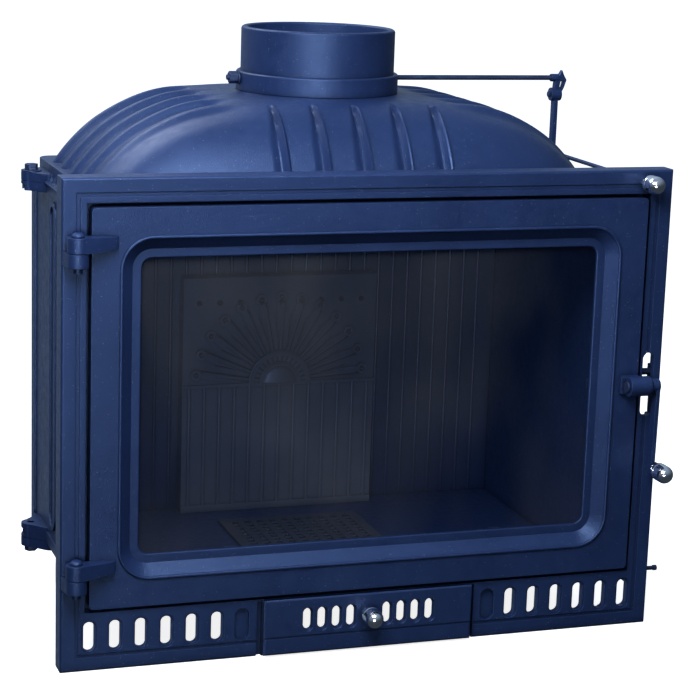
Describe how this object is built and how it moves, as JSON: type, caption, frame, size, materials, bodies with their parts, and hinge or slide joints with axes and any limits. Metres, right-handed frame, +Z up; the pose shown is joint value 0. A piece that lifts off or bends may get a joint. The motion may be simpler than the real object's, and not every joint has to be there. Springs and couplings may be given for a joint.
{
  "type": "fireplace insert",
  "caption": "Cast-iron fireplace insert with hinged glazed door, lever latch, vaulted ribbed hood, flue collar with pull-rod damper, slotted ash drawer and sliding air shutter.",
  "frame": {"origin": "middle of the front plate's lower edge: X at the plate's middle, Y at its front face, Z at the hearth it stands on", "axes": "+X to the right as the door is looked at, +Y back into the fireplace, +Z up"},
  "size_m": [0.726, 0.4583, 0.6782],
  "materials": {
    "cast_iron": "satin heat-resistant paint, dark blue-grey, over fine sand-cast texture",
    "dark_steel": "blackened, semi-matt",
    "polished_steel": "polished",
    "smoked_glass": "smoky ceramic glass, glossy",
    "sealing_rope": "braided glass-fibre rope and tape, matt"
  },
  "bodies": {
    "firebox": {"front_plate": "cast_iron", "base_plate": "cast_iron", "left_side_wall": "cast_iron", "right_side_wall": "cast_iron", "back_wall": "cast_iron", "fireback_panel": "cast_iron", "grate": "cast_iron", "smoke_baffle": "dark_steel", "hood": "cast_iron", "flue_collar": "cast_iron", "rear_feet": "cast_iron", "drawer_runners": "dark_steel", "flange_bolts": "dark_steel", "flange_washers": "dark_steel", "flange_nuts": "dark_steel", "plate_bolts": "dark_steel", "back_wall_bolts": "dark_steel", "collar_bolts": "dark_steel", "panel_bolts": "dark_steel", "hinge_pins": "cast_iron", "striker_pin": "dark_steel", "shutter_keepers": "dark_steel"},
    "door": {"door_frame": "cast_iron", "door_glass": "smoked_glass", "glass_tape": "sealing_rope", "glass_clips": "dark_steel", "glass_clip_screws": "dark_steel", "door_rope_seal": "sealing_rope", "door_hinge_straps": "cast_iron", "strap_screws": "dark_steel", "latch_bracket": "cast_iron"},
    "latch": {"latch_shaft": "dark_steel", "latch_lever": "cast_iron", "latch_hook": "cast_iron", "latch_knob": "polished_steel"},
    "drawer": {"drawer_front": "cast_iron", "drawer_rails": "dark_steel", "ash_pan": "dark_steel", "drawer_knob": "polished_steel"},
    "damper": {"damper_shaft": "dark_steel", "damper_disc": "cast_iron", "damper_screws": "dark_steel", "damper_washer": "dark_steel", "damper_nut": "dark_steel", "damper_crank": "cast_iron", "damper_arm": "cast_iron", "clamp_screw": "dark_steel"},
    "pull": {"pull_rod": "dark_steel", "pull_rod_pin": "dark_steel", "pull_knob": "polished_steel"},
    "shutter": {"air_shutter": "dark_steel", "shutter_rod": "dark_steel"}
  },
  "joints": [
    {"name": "door_hinge", "type": "hinge", "parent": "firebox", "child": "door", "pos_m": [-0.3355, -0.014, 0.2875], "axis": [0, 0, -1], "range_deg": [0, 105]},
    {"name": "latch_turn", "type": "hinge", "parent": "door", "child": "latch", "pos_m": [0.333, -0.018, 0.294], "axis": [-1, 0, 0], "range_deg": [0, 60]},
    {"name": "ash_drawer", "type": "slide", "parent": "firebox", "child": "drawer", "axis": [0, -1, 0], "range_m": [0, 0.25]},
    {"name": "damper_turn", "type": "hinge", "parent": "firebox", "child": "damper", "pos_m": [0, 0.24, 0.62], "axis": [-1, 0, 0], "range_deg": [0, 30]},
    {"name": "damper_pull", "type": "slide", "parent": "firebox", "child": "pull", "axis": [0, -1, 0], "range_m": [0, 0.0545]},
    {"name": "air_shutter_slide", "type": "slide", "parent": "firebox", "child": "shutter", "axis": [-1, 0, 0], "range_m": [0, 0.0143]}
  ],
  "couplings": [
    {"joint": "damper_pull", "follows": "damper_turn", "m_per_rad": 0.10397}
  ]
}
